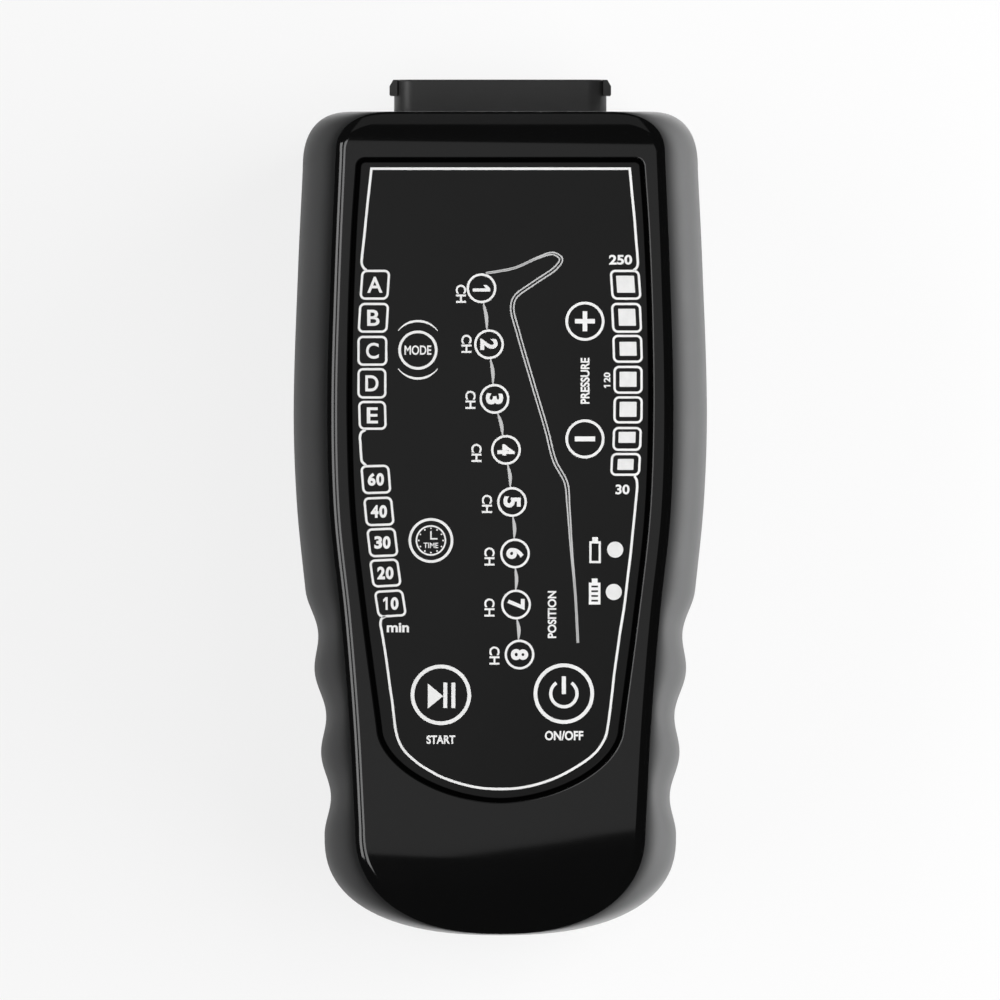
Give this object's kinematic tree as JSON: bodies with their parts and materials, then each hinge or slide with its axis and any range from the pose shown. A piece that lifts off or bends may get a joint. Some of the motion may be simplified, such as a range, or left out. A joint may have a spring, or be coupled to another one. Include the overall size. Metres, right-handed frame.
{
  "type": "compression therapy pump",
  "caption": "Handheld air compression therapy pump with a keypad front, finger scallops on the sides, a row of air outlets at the top end and a charging jack at the lower end.",
  "frame": {"origin": "on the surface the pump lies on, under the centre of its bounding box", "axes": "+Z out of the keypad front, +Y along the length towards the hose connector, +X to the right seen from the front"},
  "size_m": [0.1004, 0.2078, 0.046],
  "materials": {
    "grip_shell": "satin moulded black",
    "gloss_cover": "polished piano black",
    "overlay_film": "satin printed black",
    "light_pipe": "clear moulded",
    "board": "solder mask",
    "lamp": "clear epoxy",
    "black_parts": "matt moulded",
    "ivory_parts": "natural moulded",
    "connector": "fine matt moulded",
    "nipple": "moulded",
    "rubber": "matt",
    "tube": "translucent silicone",
    "steel": "zinc plated",
    "magnet": "sintered",
    "rotor": "wound copper and steel",
    "lead_wire": "insulation",
    "cell": "sleeved",
    "foam": "open foam"
  },
  "bodies": {
    "casing": {"rear_shell": "grip_shell", "front_cover": "gloss_cover", "keypad_overlay": "overlay_film", "mode_light_pipes": "light_pipe", "time_light_pipes": "light_pipe", "pressure_light_pipes": "light_pipe", "channel_light_pipes": "light_pipe", "battery_light_pipes": "light_pipe", "main_board": "board", "indicator_lamps": "lamp", "key_switches": "black_parts", "board_components": "black_parts", "buzzer": "black_parts", "board_plugs": "ivory_parts", "pressure_sensor": "black_parts", "board_screws": "steel", "hose_connector": "connector", "nipple_plate": "connector", "air_nipples": "nipple", "connector_gasket": "rubber", "valve_manifold": "ivory_parts", "valve_coils": "rotor", "pump_head": "black_parts", "pump_rocker": "ivory_parts", "pump_diaphragm": "rubber", "pump_cap": "black_parts", "motor_can": "steel", "motor_magnet": "magnet", "pump_saddles": "rubber", "pump_band": "steel", "air_hose": "tube", "sensor_hose": "tube", "motor_leads": "lead_wire", "battery_cells": "cell", "battery_tray": "black_parts", "battery_leads": "lead_wire", "charging_jack": "black_parts", "intake_filter": "foam", "case_screws": "steel", "rubber_feet": "rubber"},
    "key_mode": {"key_mode": "overlay_film"},
    "key_time": {"key_time": "overlay_film"},
    "key_pressure_up": {"key_pressure_up": "overlay_film"},
    "key_pressure_down": {"key_pressure_down": "overlay_film"},
    "key_start": {"key_start": "overlay_film"},
    "key_power": {"key_power": "overlay_film"},
    "valve_plunger_1": {"valve_plunger_1": "steel"},
    "valve_plunger_2": {"valve_plunger_2": "steel"},
    "valve_plunger_3": {"valve_plunger_3": "steel"},
    "valve_plunger_4": {"valve_plunger_4": "steel"},
    "valve_plunger_5": {"valve_plunger_5": "steel"},
    "valve_plunger_6": {"valve_plunger_6": "steel"},
    "valve_plunger_7": {"valve_plunger_7": "steel"},
    "valve_plunger_8": {"valve_plunger_8": "steel"},
    "motor_rotor": {"motor_rotor": "rotor"}
  },
  "joints": [
    {"name": "key_mode_press", "type": "slide", "parent": "casing", "child": "key_mode", "axis": [0, 0, -1], "range_m": [0, 0.0005], "stiffness_N_per_m": 3000},
    {"name": "key_time_press", "type": "slide", "parent": "casing", "child": "key_time", "axis": [0, 0, -1], "range_m": [0, 0.0005], "stiffness_N_per_m": 3000},
    {"name": "key_pressure_up_press", "type": "slide", "parent": "casing", "child": "key_pressure_up", "axis": [0, 0, -1], "range_m": [0, 0.0005], "stiffness_N_per_m": 3000},
    {"name": "key_pressure_down_press", "type": "slide", "parent": "casing", "child": "key_pressure_down", "axis": [0, 0, -1], "range_m": [0, 0.0005], "stiffness_N_per_m": 3000},
    {"name": "key_start_press", "type": "slide", "parent": "casing", "child": "key_start", "axis": [0, 0, -1], "range_m": [0, 0.0005], "stiffness_N_per_m": 3000},
    {"name": "key_power_press", "type": "slide", "parent": "casing", "child": "key_power", "axis": [0, 0, -1], "range_m": [0, 0.0005], "stiffness_N_per_m": 3000},
    {"name": "valve_plunger_1_lift", "type": "slide", "parent": "casing", "child": "valve_plunger_1", "axis": [0, -1, 0], "range_m": [0, 0.0008], "stiffness_N_per_m": 400},
    {"name": "valve_plunger_2_lift", "type": "slide", "parent": "casing", "child": "valve_plunger_2", "axis": [0, -1, 0], "range_m": [0, 0.0008], "stiffness_N_per_m": 400},
    {"name": "valve_plunger_3_lift", "type": "slide", "parent": "casing", "child": "valve_plunger_3", "axis": [0, -1, 0], "range_m": [0, 0.0008], "stiffness_N_per_m": 400},
    {"name": "valve_plunger_4_lift", "type": "slide", "parent": "casing", "child": "valve_plunger_4", "axis": [0, -1, 0], "range_m": [0, 0.0008], "stiffness_N_per_m": 400},
    {"name": "valve_plunger_5_lift", "type": "slide", "parent": "casing", "child": "valve_plunger_5", "axis": [0, -1, 0], "range_m": [0, 0.0008], "stiffness_N_per_m": 400},
    {"name": "valve_plunger_6_lift", "type": "slide", "parent": "casing", "child": "valve_plunger_6", "axis": [0, -1, 0], "range_m": [0, 0.0008], "stiffness_N_per_m": 400},
    {"name": "valve_plunger_7_lift", "type": "slide", "parent": "casing", "child": "valve_plunger_7", "axis": [0, -1, 0], "range_m": [0, 0.0008], "stiffness_N_per_m": 400},
    {"name": "valve_plunger_8_lift", "type": "slide", "parent": "casing", "child": "valve_plunger_8", "axis": [0, -1, 0], "range_m": [0, 0.0008], "stiffness_N_per_m": 400},
    {"name": "motor_spin", "type": "hinge", "parent": "casing", "child": "motor_rotor", "pos_m": [-0.016, 0.0125, 0.018], "axis": [0, 1, 0], "continuous": true}
  ]
}
